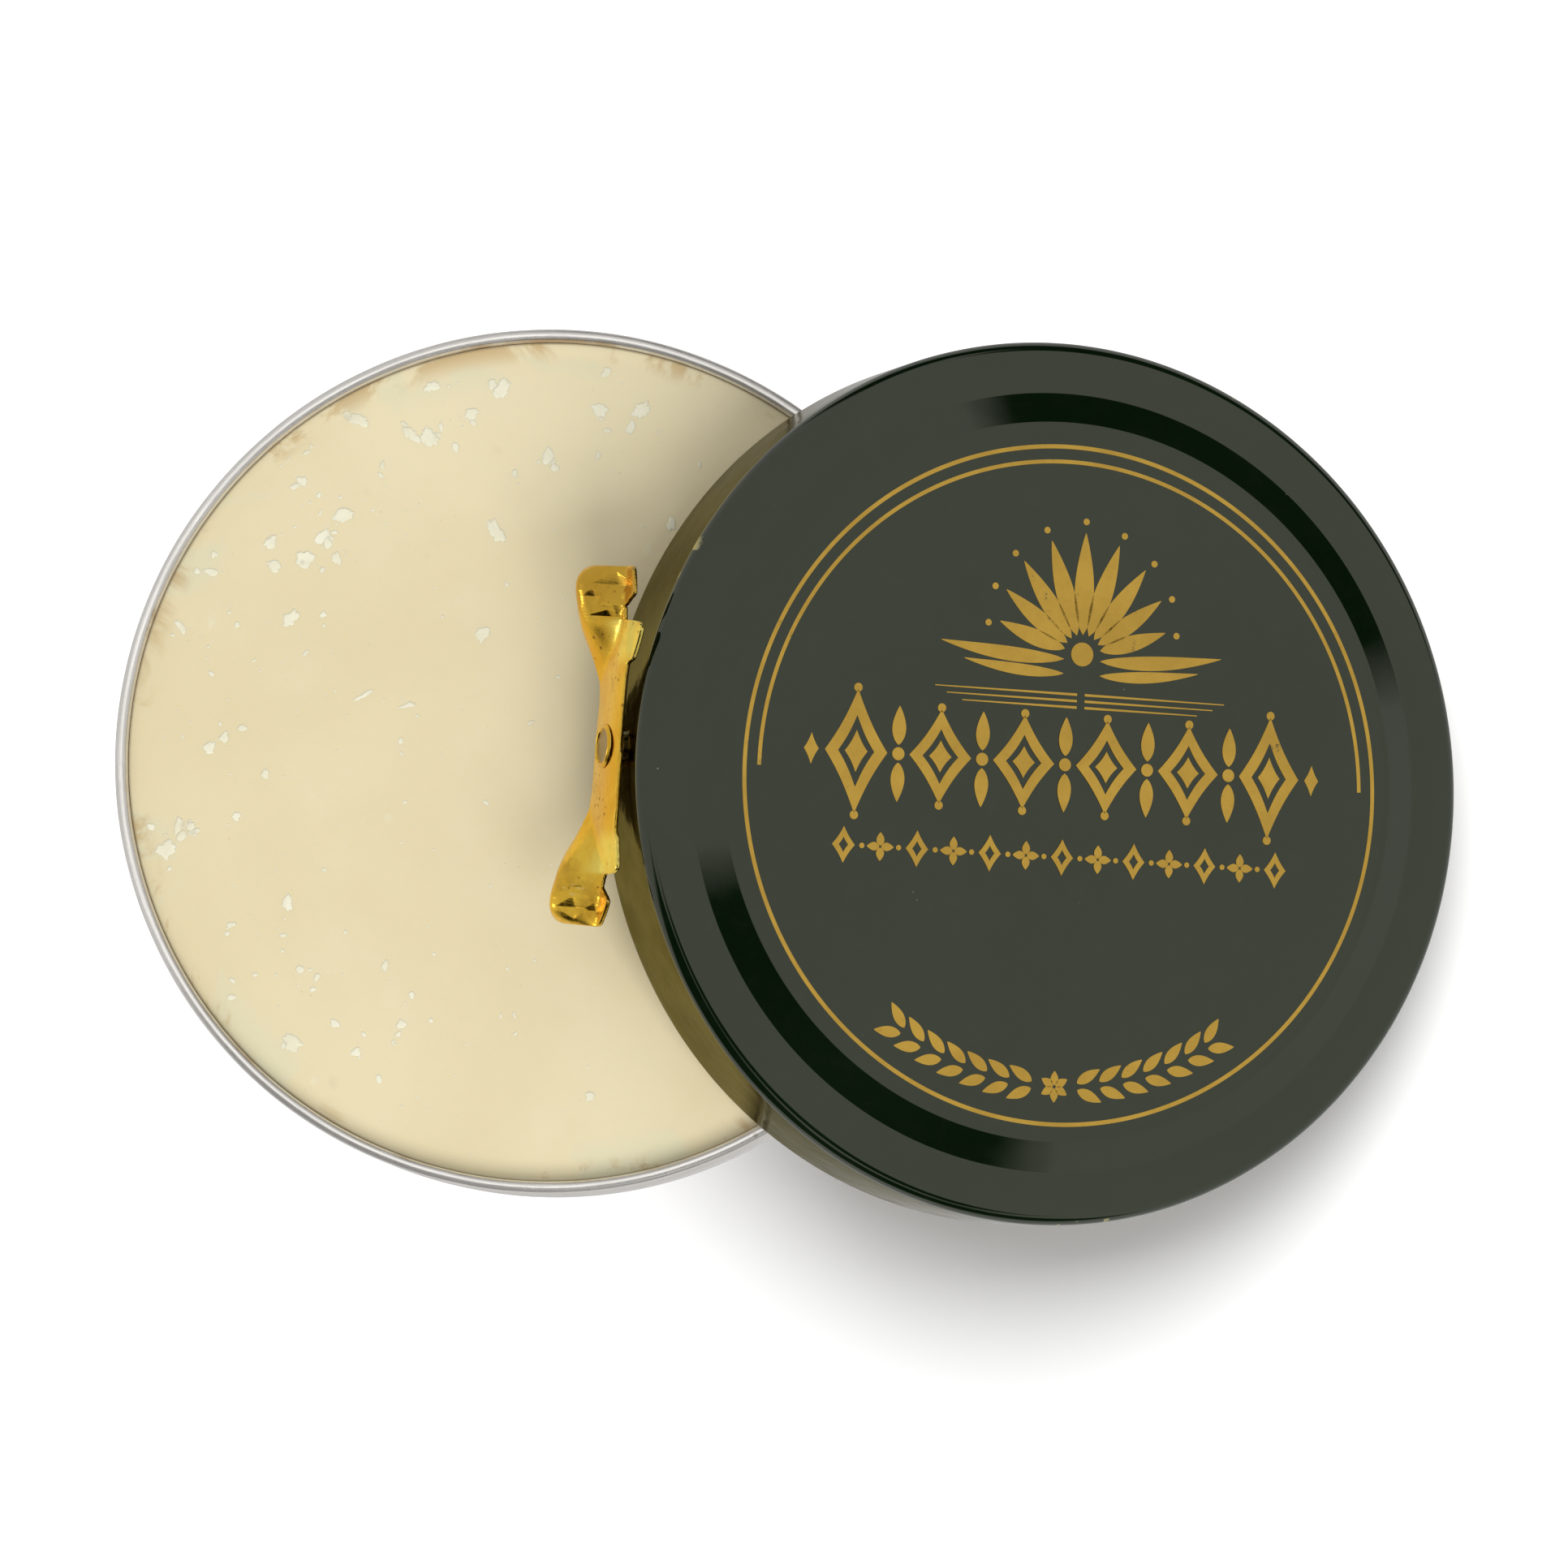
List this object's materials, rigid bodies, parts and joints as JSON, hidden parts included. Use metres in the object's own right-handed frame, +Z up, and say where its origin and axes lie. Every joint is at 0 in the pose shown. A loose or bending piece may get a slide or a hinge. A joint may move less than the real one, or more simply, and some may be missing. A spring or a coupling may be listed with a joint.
{
  "type": "shoe polish tin",
  "caption": "Opened round polish tin: a drawn base full of wax, its lid leaning on the rim with a riveted twist key on the skirt.",
  "frame": {"origin": "centre of the base's flat bottom", "axes": "+Z up along the base's axis, +X from the base towards the lid"},
  "size_m": [0.1304, 0.0872, 0.0395],
  "materials": {
    "tinplate": "bright tinplate, lightly dulled",
    "wax": "soft cream wax",
    "dark_lacquer": "gloss dark green lacquer on tinplate",
    "gold_lacquer": "gold lacquer on stamped sheet",
    "rivet_metal": "gold lacquered rivet"
  },
  "bodies": {
    "base": {"base_tin": "tinplate", "wax_polish": "wax"},
    "lid": {"lid_shell": "dark_lacquer", "key_rivet": "rivet_metal"},
    "key": {"twist_key": "gold_lacquer"}
  },
  "joints": [
    {"name": "lid_lift", "type": "slide", "parent": "base", "child": "lid", "axis": [0, 0, 1], "range_m": [0, 0.05]},
    {"name": "key_twist", "type": "hinge", "parent": "lid", "child": "key", "pos_m": [0.00572, 0.00023, 0.0341], "axis": [-0.9357, 0.0685, 0.3461], "range_deg": [-39, 46]}
  ]
}
